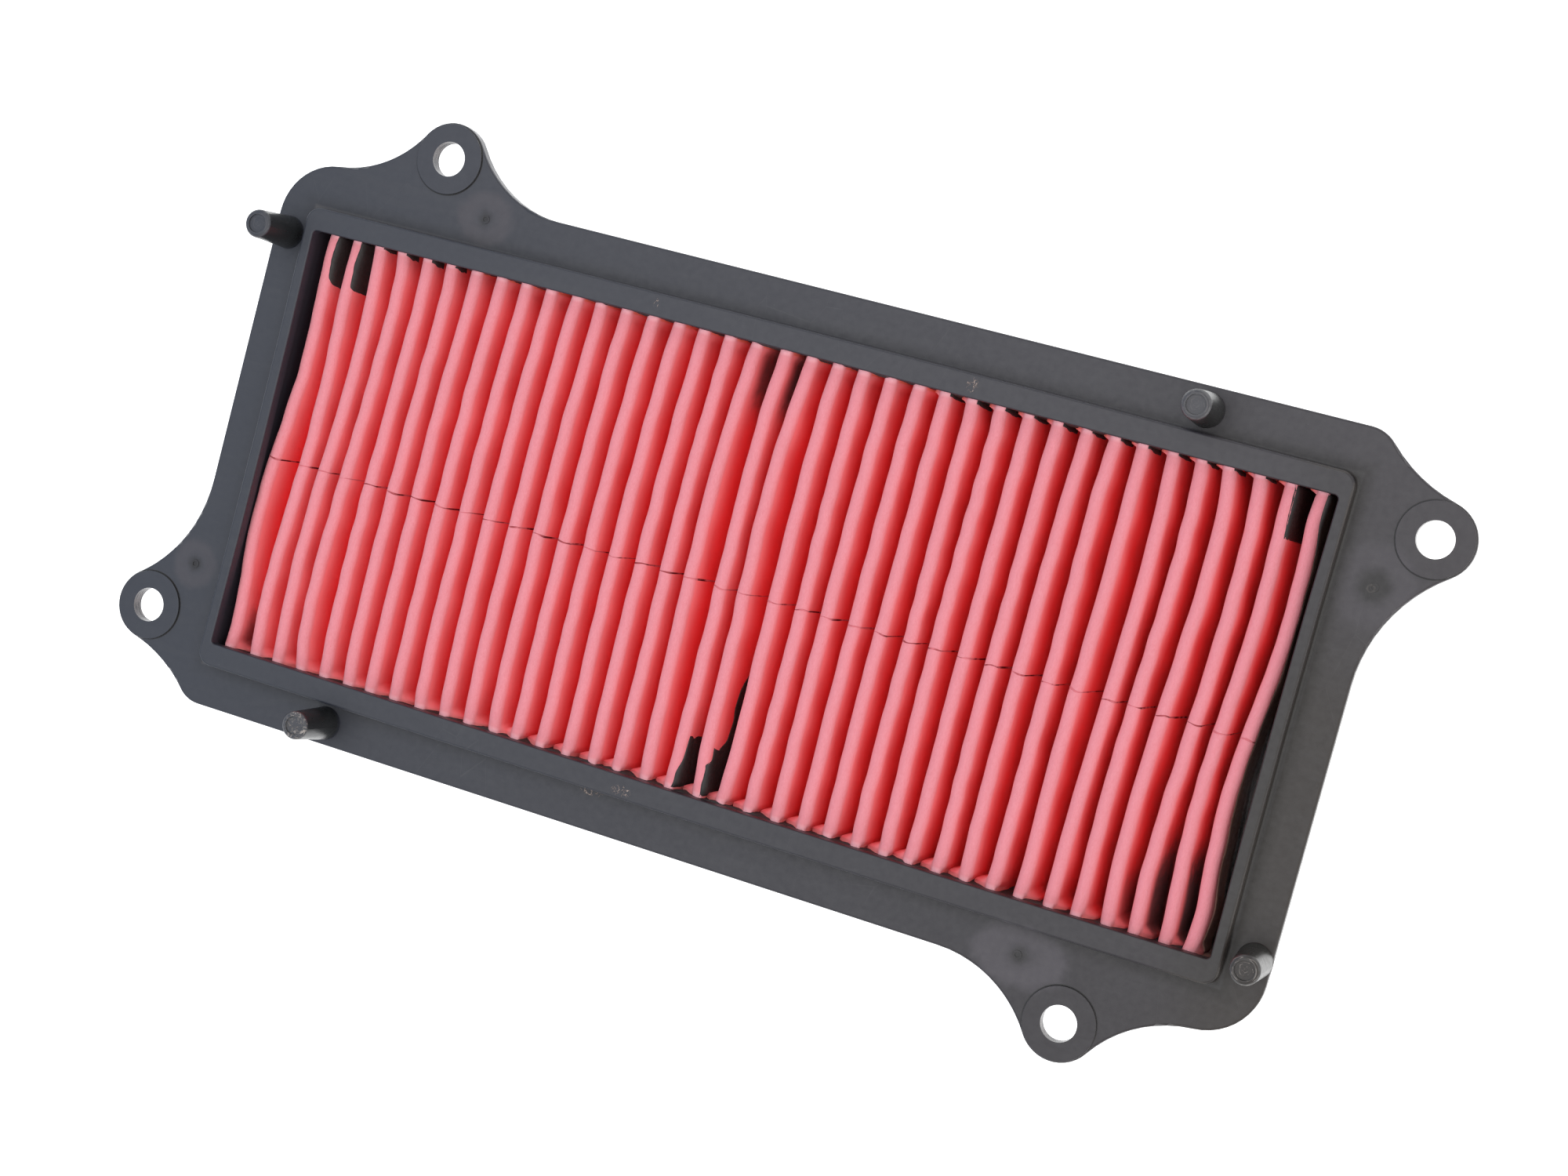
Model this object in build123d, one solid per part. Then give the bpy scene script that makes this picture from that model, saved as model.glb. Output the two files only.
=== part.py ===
from build123d import *
import math
import os

# Pleated filter panel: a moulded frame (box, flange with four ears, raised rim and pins),
# the pleated sheet, its sealing compound and threads, and a seal ring under the flange.
# All in mm. X is the long direction and the folds run along Y. +Z is up.
# The origin is under the middle of the box, with Z = 0 on its open lower edge.
# Ears, pins and injection points come in pairs: the twin is turned 180 deg about Z.

os.makedirs("parts", exist_ok=True)

# ---------------------------------------------------------------- box, rim and opening
FLANGE_Z = 24.0           # flange top face
FLANGE_T = 2.2
RIM_H = 3.6               # rim above the flange top face
RIM_Z = FLANGE_Z + RIM_H
RIM_L, RIM_W = 204.4, 90.8      # outside of rim and box, X and Y
RIM_R = 2.8               # outer corner radius of rim and box
WALL_T = 2.2              # wall of the long sides of the box
LIP_T = 2.4               # rim lip over the pleat ends
LIP_Z = RIM_Z - LIP_T     # underside of the lip
POCKET_W = RIM_W - 2 * WALL_T   # pocket under the lip, Y
OPEN_L, OPEN_W = 200.0, 82.0    # opening, X and Y
OPEN_R = 0.8              # corner radius of opening and pocket
BOW_LONG = 0.4            # warp: long edges of rim and opening stand out at mid length
BOW_SHORT = -0.4          # short edges pull in at mid length
EDGE_R = 0.5              # general edge rounding
FOOT_R = 0.5              # hollow where the rim meets the flange
OPEN_EDGE_R = 0.3         # rounding of the upper edge of the opening
EMBED = 0.5               # how far rim, discs and pins reach down into the flange
BOX_TOP_GAP = 0.4         # the box prism stops this far below the flange top face
CUT_OVER = 1.0            # how far a cutting tool passes the face it opens

# ---------------------------------------------------------------- flange outline
FLANGE_X = 110.05         # straight short edges
FLANGE_Y = 53.9           # straight long edges
LONG_EAR = (-77.5, 60.36)       # hole centre of the long-side ear
SHORT_EAR = (117.0, 38.0)       # hole centre of the short-side ear
EAR_R = 7.0
LONG_BLEND_R = 22.4       # concave blends beside the long-side ears
SHORT_BLEND_R = 27.0      # concave blends beside the short-side ears
CORNER_R = 11.0           # plain corners
KNEE = (101.8, 47.9)      # centre of the small convex corner next to the short-side ear
KNEE_R = 6.0

# ---------------------------------------------------------------- details on the flange
HOLE_R = 3.3              # M6 clearance
DISC_R, DISC_H = 6.7, 0.4       # raised disc round each hole
DISC_EDGE_R = 0.15

PINS = [(-107.0, 39.42), (73.98, 49.69)]
PIN_H = 12.4
PIN_BASE_R, PIN_TIP_R = 3.2, 2.65
PIN_TIP_ROUND = 0.8
DIMPLE_R, DIMPLE_D = 1.75, 0.35     # recess in the pin tip
DIMPLE_EDGE_R = 0.1

GATES = [(-67.2, 51.05), (109.4, 27.6)]     # injection points
GATE_R, GATE_H = 0.8, 0.12      # low witness ring left at each one
GATE_RING_T = 0.35
GATE_EMBED = 0.2

# ---------------------------------------------------------------- pleat pack
PLEATS = 38
PITCH = 5.24
HALF_PITCH = PITCH / 2
SHEET_T = 1.0
HALF_T = SHEET_T / 2
FOLD_R = 0.8              # fold radius on the middle of the sheet
CREST_UP = 1.0            # fold tops above the flange top face
PLEAT_H = 22.0            # fold top to fold bottom
SHEET_HALF_W = 42.6       # half length of the sheet along Y
FOLD_TOP_Z = FLANGE_Z + CREST_UP
FOLD_BOTTOM_Z = FOLD_TOP_Z - PLEAT_H
UPPER_Z = FOLD_TOP_Z - (FOLD_R + HALF_T)        # centres of the upper folds
LOWER_Z = FOLD_BOTTOM_Z + (FOLD_R + HALF_T)     # centres of the lower folds
CRESTS = [(k - (PLEATS - 1) / 2) * PITCH for k in range(PLEATS)]

THREAD_Y = -3.3
THREAD_W = 0.5
THREAD_T = 0.2
THREAD_GAP = 0.005        # between sheet and thread

# ---------------------------------------------------------------- sealing compound
POT_TOP = LIP_Z - 0.02
POT_BOTTOM = FOLD_BOTTOM_Z + 0.8
POT_IN = OPEN_W / 2 + 0.3
POT_OUT = POCKET_W / 2 - 0.01
WALL_GAP = 0.02           # between compound and the short walls of the box
POT_SHEET_GAP = 0.01      # between potting and sheet

SEAL_BOTTOM = LOWER_Z + 0.2
SEAL_TOP = FLANGE_Z - 9.0
SEAL_RISE = 0.8           # the strip stands this much higher at the wall
SEAL_HALF_W = OPEN_W / 2 + 0.2
SEAL_GAP = 0.02           # between strip and sheet or thread
SLOT_DEPTH = 0.2          # the thread slot starts this far inside the sheet surface

SKIN_T = 0.25
SKIN_GAP = 0.01           # between sheet and skin
# thin skins on right-hand flanks: fold index, y from, y to, depth down the flank
SKINS = [
    (0, 32.0, 40.9, 9.0),
    (1, 32.6, 40.9, 8.0),
    (36, 31.6, 40.9, 8.0),
    (18, -40.9, -31.0, 7.0),
    (19, -40.9, -31.5, 8.5),
    (17, 34.0, 40.9, 6.0),
]

# ---------------------------------------------------------------- seal ring
GASKET_T = 2.0
GASKET_IN = 0.4           # gap between the box wall and the ring
GASKET_W = 4.2
GASKET_GAP = 0.01         # between ring and flange
GASKET_EDGE_R = 0.6


# ---------------------------------------------------------------- helpers
def turned(point):
    return (-point[0], -point[1])


def with_twins(points):
    return points + [turned(point) for point in points]


def toward(centre, target, distance):
    """Point at a distance from centre, in the direction of target."""
    dx, dy = target[0] - centre[0], target[1] - centre[1]
    length = math.hypot(dx, dy)
    return (centre[0] + dx * distance / length, centre[1] + dy * distance / length)


def short_arc(centre, start, end):
    """The shorter arc from start to end about centre."""
    radius = math.hypot(start[0] - centre[0], start[1] - centre[1])
    chord_middle = ((start[0] + end[0]) / 2, (start[1] + end[1]) / 2)
    return ThreePointArc(start, toward(centre, chord_middle, radius), end)


def rounded_prism(length, width, radius, z0, z1):
    return Pos(0, 0, z0) * extrude(RectangleRounded(length, width, radius), z1 - z0)


def bowed_prism(length, width, radius, z0, z1):
    """Rounded prism with the moulding warp in its four sides."""
    a, b = length / 2, width / 2
    face = make_face(Wire([
        ThreePointArc((-a, b), (0, b + BOW_LONG), (a, b)),
        ThreePointArc((a, b), (a + BOW_SHORT, 0), (a, -b)),
        ThreePointArc((a, -b), (0, -b - BOW_LONG), (-a, -b)),
        ThreePointArc((-a, -b), (-a - BOW_SHORT, 0), (-a, b)),
    ]))
    face = fillet(face.vertices(), radius)
    return Pos(0, 0, z0) * extrude(face, z1 - z0)


def extrude_along_y(face, y0, y1):
    """Stand a face drawn in (x, z) upright and extrude it from y0 to y1."""
    return Pos(0, y1, 0) * Rot(90, 0, 0) * extrude(face, y1 - y0)


def edges_at(shape, z, tolerance=0.01):
    return shape.edges().filter_by(lambda edge: abs(edge.center().Z - z) < tolerance)


def lies_within(edge, half_x, half_y):
    box = edge.bounding_box()
    return (box.max.X < half_x and box.min.X > -half_x
            and box.max.Y < half_y and box.min.Y > -half_y)


def fillet_if_possible(shape, edges, radius):
    # guards against the kernel refusing the fillet: the edges then stay sharp
    try:
        return fillet(edges, radius)
    except Exception:
        return shape


# ---------------------------------------------------------------- frame
def flange_outline():
    """Half the outline, clockwise from the -X edge over the +Y side, then its twin."""
    # centres of the blends either side of the long-side ear
    blend_y = FLANGE_Y + LONG_BLEND_R
    reach = math.sqrt((EAR_R + LONG_BLEND_R) ** 2 - (blend_y - LONG_EAR[1]) ** 2)
    long_left = (LONG_EAR[0] - reach, blend_y)
    long_right = (LONG_EAR[0] + reach, blend_y)

    # plain corner, tangent to the short edge and to the first blend
    corner_x = -FLANGE_X + CORNER_R
    drop = math.sqrt((CORNER_R + LONG_BLEND_R) ** 2 - (corner_x - long_left[0]) ** 2)
    corner = (corner_x, blend_y - drop)

    # blend tangent to both the knee and the short-side ear: two circles intersected
    ear_reach = EAR_R + SHORT_BLEND_R
    knee_reach = KNEE_R + SHORT_BLEND_R
    span = math.hypot(KNEE[0] - SHORT_EAR[0], KNEE[1] - SHORT_EAR[1])
    along_x = (KNEE[0] - SHORT_EAR[0]) / span
    along_y = (KNEE[1] - SHORT_EAR[1]) / span
    along = (ear_reach ** 2 - knee_reach ** 2 + span ** 2) / (2 * span)
    across = math.sqrt(ear_reach ** 2 - along ** 2)
    short_upper = (SHORT_EAR[0] + along * along_x + across * along_y,
                   SHORT_EAR[1] + along * along_y - across * along_x)

    # blend from the short-side ear into the short edge
    lower_x = FLANGE_X + SHORT_BLEND_R
    short_lower = (lower_x,
                   SHORT_EAR[1] - math.sqrt(ear_reach ** 2 - (lower_x - SHORT_EAR[0]) ** 2))

    start = (-FLANGE_X, corner[1])
    points = [
        start,
        toward(corner, long_left, CORNER_R),
        toward(LONG_EAR, long_left, EAR_R),
        toward(LONG_EAR, long_right, EAR_R),
        (long_right[0], FLANGE_Y),
        (KNEE[0], FLANGE_Y),
        toward(KNEE, short_upper, KNEE_R),
        toward(SHORT_EAR, short_upper, EAR_R),
        toward(SHORT_EAR, short_lower, EAR_R),
        (FLANGE_X, short_lower[1]),
        turned(start),
    ]
    # arc centre of each stretch between two points, None for a straight one
    centres = [corner, long_left, LONG_EAR, long_right, None,
               KNEE, short_upper, SHORT_EAR, short_lower, None]
    edges = []
    for place in (lambda point: point, turned):
        for centre, first, last in zip(centres, points, points[1:]):
            if centre is None:
                edges.append(Line(place(first), place(last)))
            else:
                edges.append(short_arc(place(centre), place(first), place(last)))
    return make_face(Wire(edges))


def frame_shell():
    """Flange, rim and box, with the opening and the pocket cut out."""
    flange = Pos(0, 0, FLANGE_Z - FLANGE_T) * extrude(flange_outline(), FLANGE_T)
    flange = fillet_if_possible(flange, edges_at(flange, FLANGE_Z), EDGE_R)
    rim = bowed_prism(RIM_L, RIM_W, RIM_R, FLANGE_Z - EMBED, RIM_Z)
    rim = fillet(edges_at(rim, RIM_Z), EDGE_R)
    box = rounded_prism(RIM_L, RIM_W, RIM_R, 0.0, FLANGE_Z - BOX_TOP_GAP)
    box = fillet(edges_at(box, 0.0), EDGE_R)
    body = flange + rim + box

    foot = [edge for edge in edges_at(body, FLANGE_Z, 0.02)
            if abs(edge.bounding_box().max.Z - FLANGE_Z) < 0.02
            and lies_within(edge, RIM_L / 2 + 0.6, RIM_W / 2 + 0.6)]
    body = fillet_if_possible(body, foot, FOOT_R)

    # opening through the rim, then the wider pocket for the pleat pack under the lip
    body -= bowed_prism(OPEN_L, OPEN_W, OPEN_R, FLANGE_Z - 1.0, RIM_Z + CUT_OVER)
    body -= rounded_prism(OPEN_L, POCKET_W, OPEN_R, -CUT_OVER, LIP_Z)
    opening = [edge for edge in edges_at(body, RIM_Z)
               if lies_within(edge, OPEN_L / 2 + 0.01, OPEN_W / 2 + 0.5)]
    return fillet_if_possible(body, opening, OPEN_EDGE_R)


def hole_disc(x, y):
    disc = Pos(x, y, FLANGE_Z - EMBED) * extrude(Circle(DISC_R), EMBED + DISC_H)
    return fillet(edges_at(disc, FLANGE_Z + DISC_H), DISC_EDGE_R)


def locating_pin(x, y):
    """Tapered pin with a dimpled tip; the taper carries on into the flange."""
    tip_z = FLANGE_Z + PIN_H
    slope = (PIN_BASE_R - PIN_TIP_R) / PIN_H
    pin = Pos(x, y, FLANGE_Z + (PIN_H - EMBED) / 2) * Cone(
        PIN_BASE_R + EMBED * slope, PIN_TIP_R, PIN_H + EMBED)
    pin = fillet(edges_at(pin, tip_z), PIN_TIP_ROUND)
    pin -= Pos(x, y, tip_z - DIMPLE_D) * extrude(Circle(DIMPLE_R), 2.0)
    dimple_edge = [edge for edge in edges_at(pin, tip_z)
                   if edge.length < 2 * math.pi * (DIMPLE_R + 0.05)]
    return fillet(dimple_edge, DIMPLE_EDGE_R)


def gate_ring(x, y):
    ring = (extrude(Circle(GATE_R), GATE_EMBED + GATE_H)
            - extrude(Circle(GATE_R - GATE_RING_T), 1.0))
    return Pos(x, y, FLANGE_Z - GATE_EMBED) * ring


def make_frame():
    body = frame_shell()
    holes = with_twins([LONG_EAR, SHORT_EAR])
    for x, y in holes:
        body += hole_disc(x, y)
    for x, y in holes:
        body -= Pos(x, y, 0) * extrude(Circle(HOLE_R), FLANGE_Z + 5.0)
    for x, y in with_twins(PINS):
        body += locating_pin(x, y)
    for x, y in with_twins(GATES):
        body += gate_ring(x, y)
    return body.solid()


# ---------------------------------------------------------------- pleated sheet and threads
def flank_normal():
    """Unit normal (x, z) of the straight flank to the right of an upper fold."""
    drop = LOWER_Z - UPPER_Z
    angle = (math.atan2(drop, HALF_PITCH)
             + math.acos(2 * FOLD_R / math.hypot(HALF_PITCH, drop)))
    return math.cos(angle), math.sin(angle)


NORMAL_X, NORMAL_Z = flank_normal()


def flank(crest_x, offset, side):
    """Top and bottom (x, z) of a straight flank, offset above the middle of the sheet.

    side is -1 for the flank left of the crest and 1 for the one right of it.
    """
    upper_r, lower_r = FOLD_R + offset, FOLD_R - offset
    top = (crest_x + side * upper_r * NORMAL_X, UPPER_Z + upper_r * NORMAL_Z)
    bottom = (crest_x + side * (HALF_PITCH - lower_r * NORMAL_X),
              LOWER_Z - lower_r * NORMAL_Z)
    return top, bottom


def pleat_line(offset):
    """Edges of the pleated line at an offset, from left to right, and its two ends."""
    edges = []
    for i, x in enumerate(CRESTS):
        left_top, left_bottom = flank(x, offset, -1)
        right_top, right_bottom = flank(x, offset, 1)
        edges += [
            Line(left_bottom, left_top),
            ThreePointArc(left_top, (x, UPPER_Z + FOLD_R + offset), right_top),
            Line(right_top, right_bottom),
        ]
        if i < PLEATS - 1:
            valley = (x + HALF_PITCH, LOWER_Z - (FOLD_R - offset))
            next_bottom = flank(CRESTS[i + 1], offset, -1)[1]
            edges.append(ThreePointArc(right_bottom, valley, next_bottom))
    return edges, flank(CRESTS[0], offset, -1)[1], flank(CRESTS[-1], offset, 1)[1]


def pleated_band(low, high, y0, y1):
    """Solid between two offsets from the middle of the sheet."""
    upper, upper_start, upper_end = pleat_line(high)
    lower, lower_start, lower_end = pleat_line(low)
    wire = Wire(upper + [Line(upper_end, lower_end)]
                + lower + [Line(lower_start, upper_start)])
    return extrude_along_y(make_face(wire), y0, y1)


def make_thread(low, high):
    return pleated_band(low, high, THREAD_Y - THREAD_W / 2, THREAD_Y + THREAD_W / 2)


# ---------------------------------------------------------------- sealing compound
def make_potting(side):
    """Block round the sheet ends, at -Y (side -1) or +Y (side 1)."""
    middle_y = (POT_IN + POT_OUT) / 2
    block = Pos(0, side * middle_y, (POT_TOP + POT_BOTTOM) / 2) * Box(
        OPEN_L - 2 * WALL_GAP, POT_OUT - POT_IN, POT_TOP - POT_BOTTOM)
    outer = [edge for edge in block.edges().filter_by(Axis.Z)
             if abs(edge.center().Y) > middle_y]
    block = fillet(outer, OPEN_R)
    reach = HALF_T + POT_SHEET_GAP
    half_w = SHEET_HALF_W + POT_SHEET_GAP
    return block - pleated_band(-reach, reach, -half_w, half_w)


def first_flank_x(z, offset):
    """x at height z on the left flank of the first fold."""
    top, bottom = flank(CRESTS[0], offset, -1)
    return top[0] + (bottom[0] - top[0]) * (z - top[1]) / (bottom[1] - top[1])


def make_side_seal(side):
    """Strip between the short wall and the outermost flank, at -X (side -1) or +X (side 1)."""
    wall_x = -OPEN_L / 2 + WALL_GAP
    offset = HALF_T + SEAL_GAP
    section = Polyline(
        (wall_x, SEAL_BOTTOM),
        (first_flank_x(SEAL_BOTTOM, offset), SEAL_BOTTOM),
        (first_flank_x(SEAL_TOP, offset), SEAL_TOP),
        (wall_x, SEAL_TOP + SEAL_RISE),
        close=True)
    strip = extrude_along_y(make_face(section), -SEAL_HALF_W, SEAL_HALF_W)

    # shallow slot where the thread runs down behind the strip
    outer, inner = HALF_T + THREAD_T + SEAL_GAP, HALF_T - SLOT_DEPTH
    z0, z1 = SEAL_BOTTOM - CUT_OVER, SEAL_TOP + CUT_OVER
    slot = Polyline(
        (first_flank_x(z0, outer), z0),
        (first_flank_x(z0, inner), z0),
        (first_flank_x(z1, inner), z1),
        (first_flank_x(z1, outer), z1),
        close=True)
    # the +X strip is turned round afterwards, so its slot starts on the other side of Y = 0
    slot_y = -side * THREAD_Y
    half_slot = THREAD_W / 2 + SEAL_GAP
    strip -= extrude_along_y(make_face(slot), slot_y - half_slot, slot_y + half_slot)
    return strip if side < 0 else Rot(0, 0, 180) * strip


def make_skin(fold, y0, y1, depth):
    def down_flank(offset, share):
        top, bottom = flank(CRESTS[fold], offset, 1)
        return (top[0] + (bottom[0] - top[0]) * share, top[1] + (bottom[1] - top[1]) * share)

    near = HALF_T + SKIN_GAP
    far = near + SKIN_T
    share = depth / PLEAT_H
    section = Polyline(down_flank(near, 0), down_flank(far, 0),
                       down_flank(far, share), down_flank(near, share), close=True)
    return extrude_along_y(make_face(section), y0, y1).solid()


# ---------------------------------------------------------------- seal ring under the flange
def make_gasket():
    top = FLANGE_Z - FLANGE_T
    bottom = top - GASKET_T
    length, width = RIM_L + 2 * GASKET_IN, RIM_W + 2 * GASKET_IN
    radius = RIM_R + GASKET_IN
    ring = (rounded_prism(length + 2 * GASKET_W, width + 2 * GASKET_W, radius + GASKET_W,
                          bottom, top - GASKET_GAP)
            - rounded_prism(length, width, radius, bottom - CUT_OVER, top + CUT_OVER))
    return fillet_if_possible(ring, edges_at(ring, bottom), GASKET_EDGE_R)


# ---------------------------------------------------------------- write
NODES = {
    "frame_body": make_frame(),
    "filter_media": pleated_band(-HALF_T, HALF_T, -SHEET_HALF_W, SHEET_HALF_W),
    "potting_front": make_potting(-1),
    "potting_rear": make_potting(1),
    "side_seal_left": make_side_seal(-1),
    "side_seal_right": make_side_seal(1),
    "separator_thread_top": make_thread(HALF_T + THREAD_GAP, HALF_T + THREAD_T),
    "separator_thread_bottom": make_thread(-HALF_T - THREAD_T, -HALF_T - THREAD_GAP),
    "compound_overflow": Compound(children=[make_skin(*row) for row in SKINS]),
    "flange_gasket": make_gasket(),
}
for name, shape in NODES.items():
    export_step(shape, f"parts/{name}.step")
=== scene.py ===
"""A pleated filter in a moulded plastic frame, lying flat on a pale floor.

The frame is long in x, short in y, and opens upward in z. The folds run along y and
follow each other along x, counted from 0 at the left. Left and right are -x and +x,
front and rear are -y and +y. Lengths are in mm and become metres in mesh_object.
"""

import math
from functools import cached_property, reduce

import bpy
import numpy as np
from mathutils import Matrix, Vector


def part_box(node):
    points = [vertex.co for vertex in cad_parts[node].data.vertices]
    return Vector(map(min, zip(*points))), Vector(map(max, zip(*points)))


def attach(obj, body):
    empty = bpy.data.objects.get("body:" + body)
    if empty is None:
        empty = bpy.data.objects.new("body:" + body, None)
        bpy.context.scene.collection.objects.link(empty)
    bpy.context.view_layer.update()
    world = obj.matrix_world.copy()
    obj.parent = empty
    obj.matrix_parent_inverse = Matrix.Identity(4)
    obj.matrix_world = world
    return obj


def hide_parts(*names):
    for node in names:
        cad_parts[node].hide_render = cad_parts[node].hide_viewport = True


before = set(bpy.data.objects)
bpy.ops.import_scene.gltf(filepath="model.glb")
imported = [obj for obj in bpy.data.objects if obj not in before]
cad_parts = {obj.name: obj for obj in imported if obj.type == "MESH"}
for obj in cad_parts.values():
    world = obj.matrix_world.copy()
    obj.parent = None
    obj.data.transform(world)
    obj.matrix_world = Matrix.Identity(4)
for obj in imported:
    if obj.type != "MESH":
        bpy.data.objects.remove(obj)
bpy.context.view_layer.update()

MM = 0.001


def box_mm(node):
    """Low and high corner of a CAD piece, in mm."""
    return [[value * 1000.0 for value in corner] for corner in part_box(node)]


# ---------------------------------------------------------------- sizes
(_, _, Z_BOT), (_, HALF_Y, Z_TOP) = box_mm("filter_media")  # fold bottoms and tops, half length
PLEATS = 38
PITCH = 5.24
R_OUT, R_IN = 1.3, 0.3             # outside and inside radius of a fold
R_MID = (R_OUT + R_IN) / 2
HALF_SHEET = (R_OUT - R_IN) / 2    # half the thickness of the sheet
CLOSE_GAP = PITCH - 2 * R_OUT - 0.3  # flank shift that nearly closes the gap between folds
BOW_REACH = 41.0                   # y at which the bow polynomials end
WALL_X = 99.98                     # inside of the end walls
SEAL_X = 99.97                     # back of the side seals
POTTING_BACK = 43.17               # back of the potting on the long walls
THREAD_Y = -3.3

# sideways bow of each fold: polynomial coefficients in y / BOW_REACH, lowest power first
BOW = [
    [-0.83, 4.18, 1.44, -10.09, -0.79, 6.47], [0.3, 1.52, -3.0, -2.56, 2.69, 1.13],
    [-0.5, 2.58, 0.17, -3.89, -0.18, 1.31], [-1.08, 1.93, -0.15, -0.6, 0.67, -1.46],
    [-0.98, 1.0, 0.53, -0.57, -0.04, -0.48], [-1.2, 0.34, 0.64, 0.9, -0.03, -1.41],
    [-1.41, -0.22, 0.59, 1.87, 0.09, -1.54], [-1.38, 0.04, 0.52, 0.6, 0.17, -0.47],
    [-1.37, -0.07, 0.18, 1.45, 0.63, -1.41], [-1.5, -0.02, 0.72, 0.49, 0.2, -0.56],
    [-1.37, -0.03, 0.01, 0.18, 0.84, -0.11], [-1.49, -0.53, 0.5, 2.23, 0.36, -1.89],
    [-1.42, -0.01, 0.27, -0.06, 0.36, 0.16], [-1.54, -0.14, 0.77, 0.15, 0.08, 0.17],
    [-1.47, -0.1, 0.85, -0.37, -0.04, 0.63], [-1.35, -0.32, 0.51, 0.8, 0.24, -0.52],
    [-1.45, -0.66, 0.85, 1.57, -0.16, -0.85], [-1.89, -0.89, 1.09, 1.32, 0.33, -0.51],
    [-0.87, -0.67, 0.06, 0.78, 0.56, 0.18], [-1.53, -1.43, 0.25, 3.44, 1.22, -2.09],
    [-0.73, -0.56, 0.42, -0.12, -0.12, 0.91], [-0.57, -0.67, -0.37, 1.11, 0.47, -0.46],
    [-0.88, -0.24, 0.4, 0.22, 0.08, -0.08], [-0.69, -0.02, 0.1, -0.41, 0.27, 0.48],
    [-0.8, 0.27, 0.27, -0.83, 0.07, 0.56], [-0.54, 0.03, -0.32, 0.2, 0.51, -0.38],
    [-0.88, 0.02, 0.87, -0.22, -0.29, -0.02], [-0.64, 0.1, 0.54, -0.54, -0.37, 0.5],
    [-0.68, 0.35, 0.34, -1.27, -0.0, 1.01], [-0.88, 0.06, 0.24, 0.45, 0.33, -0.34],
    [-0.53, -0.09, -0.53, -0.6, 0.68, 0.92], [-0.55, 0.87, 0.29, -2.09, -0.23, 1.35],
    [0.2, 1.13, -0.36, -1.2, -0.14, 0.16], [-0.4, 1.51, 0.63, -1.84, -0.63, 0.45],
    [-0.41, 1.88, 0.5, -1.34, -0.55, -0.76], [0.01, 1.74, -0.69, -1.11, 0.25, -0.58],
    [-0.54, 2.52, 0.44, -5.04, -0.06, 2.55], [-0.87, 3.94, 1.3, -9.32, -0.85, 5.99],
]

# how flanks are pushed about near the long walls:
# flank side, wall side, first fold, fold after the last,
# distance in y where it starts, run to full effect, power of the rise,
# depths below the crest where it sets in and where it fades, shift in x, shift in z
END_SHIFTS = [
    # left flanks flare out and close the valley, or form a small lip at the rear
    (-1, -1, 12, 31, 39.55, 1.05, 0.9, (1.1, 1.7), (7.0, 14.0), -CLOSE_GAP, 0.0),
    (-1, +1, 24, 38, 40.3, 0.6, 1.2, (0.9, 1.6), (4.0, 9.0), -1.3, 0.0),
    # right flanks close the valley near the end walls and, slightly, at the rear
    (+1, -1, 0, 12, 39.3, 1.5, 1.5, (0.8, 3.0), (8.0, 15.0), CLOSE_GAP * 0.8, 0.0),
    (+1, -1, 31, 37, 39.3, 1.5, 1.5, (0.8, 3.0), (8.0, 15.0), CLOSE_GAP * 0.7, 0.0),
    (+1, -1, 37, 38, 39.3, 1.5, 1.5, (0.8, 3.0), (8.0, 15.0), 0.9, 0.0),
    (+1, +1, 7, 24, 39.4, 1.4, 1.4, (1.0, 3.4), (8.0, 15.0), CLOSE_GAP * 0.22, 0.0),
    # right shoulders roll under at the very ends
    (+1, -1, 12, 31, 39.9, 1.1, 1.5, (0.05, 0.8), (2.0, 6.0), -0.38, -0.25),
    (+1, -1, 31, 37, 39.9, 1.1, 1.5, (0.05, 0.8), (2.0, 6.0), -0.25, -0.25),
    (+1, +1, 24, 38, 40.2, 0.8, 1.4, (0.05, 0.8), (2.0, 6.0), -0.25, 0.0),
]


# ---------------------------------------------------------------- helpers
def smooth(start, end, x):
    t = np.clip((x - start) / (end - start), 0.0, 1.0)
    return t * t * (3 - 2 * t)


def waves(seed, count, shortest, longest):
    """A smooth random function: a sum of sines with wavelengths between the two given."""
    random = np.random.RandomState(seed)
    rates = 2 * np.pi / random.uniform(shortest, longest, count)
    phases = random.uniform(0, 2 * np.pi, count)
    sizes = random.uniform(0.5, 1.0, count)
    sizes = sizes / np.sqrt((sizes ** 2).sum() / 2)

    def wave(x):
        flat = np.asarray(x, float).ravel()[None, :]
        total = (sizes[:, None] * np.sin(rates[:, None] * flat + phases[:, None])).sum(0)
        return total.reshape(np.shape(x))
    return wave


def mesh_object(name, verts, faces, material, smooth_shade=True):
    mesh = bpy.data.meshes.new(name)
    points = [tuple(point) for point in np.asarray(verts, float) * MM]
    mesh.from_pydata(points, [], [tuple(int(i) for i in face) for face in faces])
    mesh.validate()
    mesh.update()
    if smooth_shade:
        mesh.polygons.foreach_set("use_smooth", [True] * len(mesh.polygons))
    ob = bpy.data.objects.new(name, mesh)
    bpy.context.scene.collection.objects.link(ob)
    mesh.materials.append(material)
    return ob


def piece(name, node, slot, verts, faces):
    """A mesh that takes the place of a CAD piece."""
    ob = mesh_object(name, verts, faces, MATERIALS[slot])
    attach(ob, "root")
    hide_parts(node)


def clip_x(verts, low, high):
    verts[:, 0] = np.clip(verts[:, 0], low, high)


def grid_faces(rows, cols, offset=0, flip=False):
    i, j = np.meshgrid(np.arange(rows - 1), np.arange(cols - 1), indexing="ij")
    first = offset + i * cols + j
    quads = np.stack([first, first + 1, first + cols + 1, first + cols], -1).reshape(-1, 4)
    return quads[:, ::-1] if flip else quads


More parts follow.
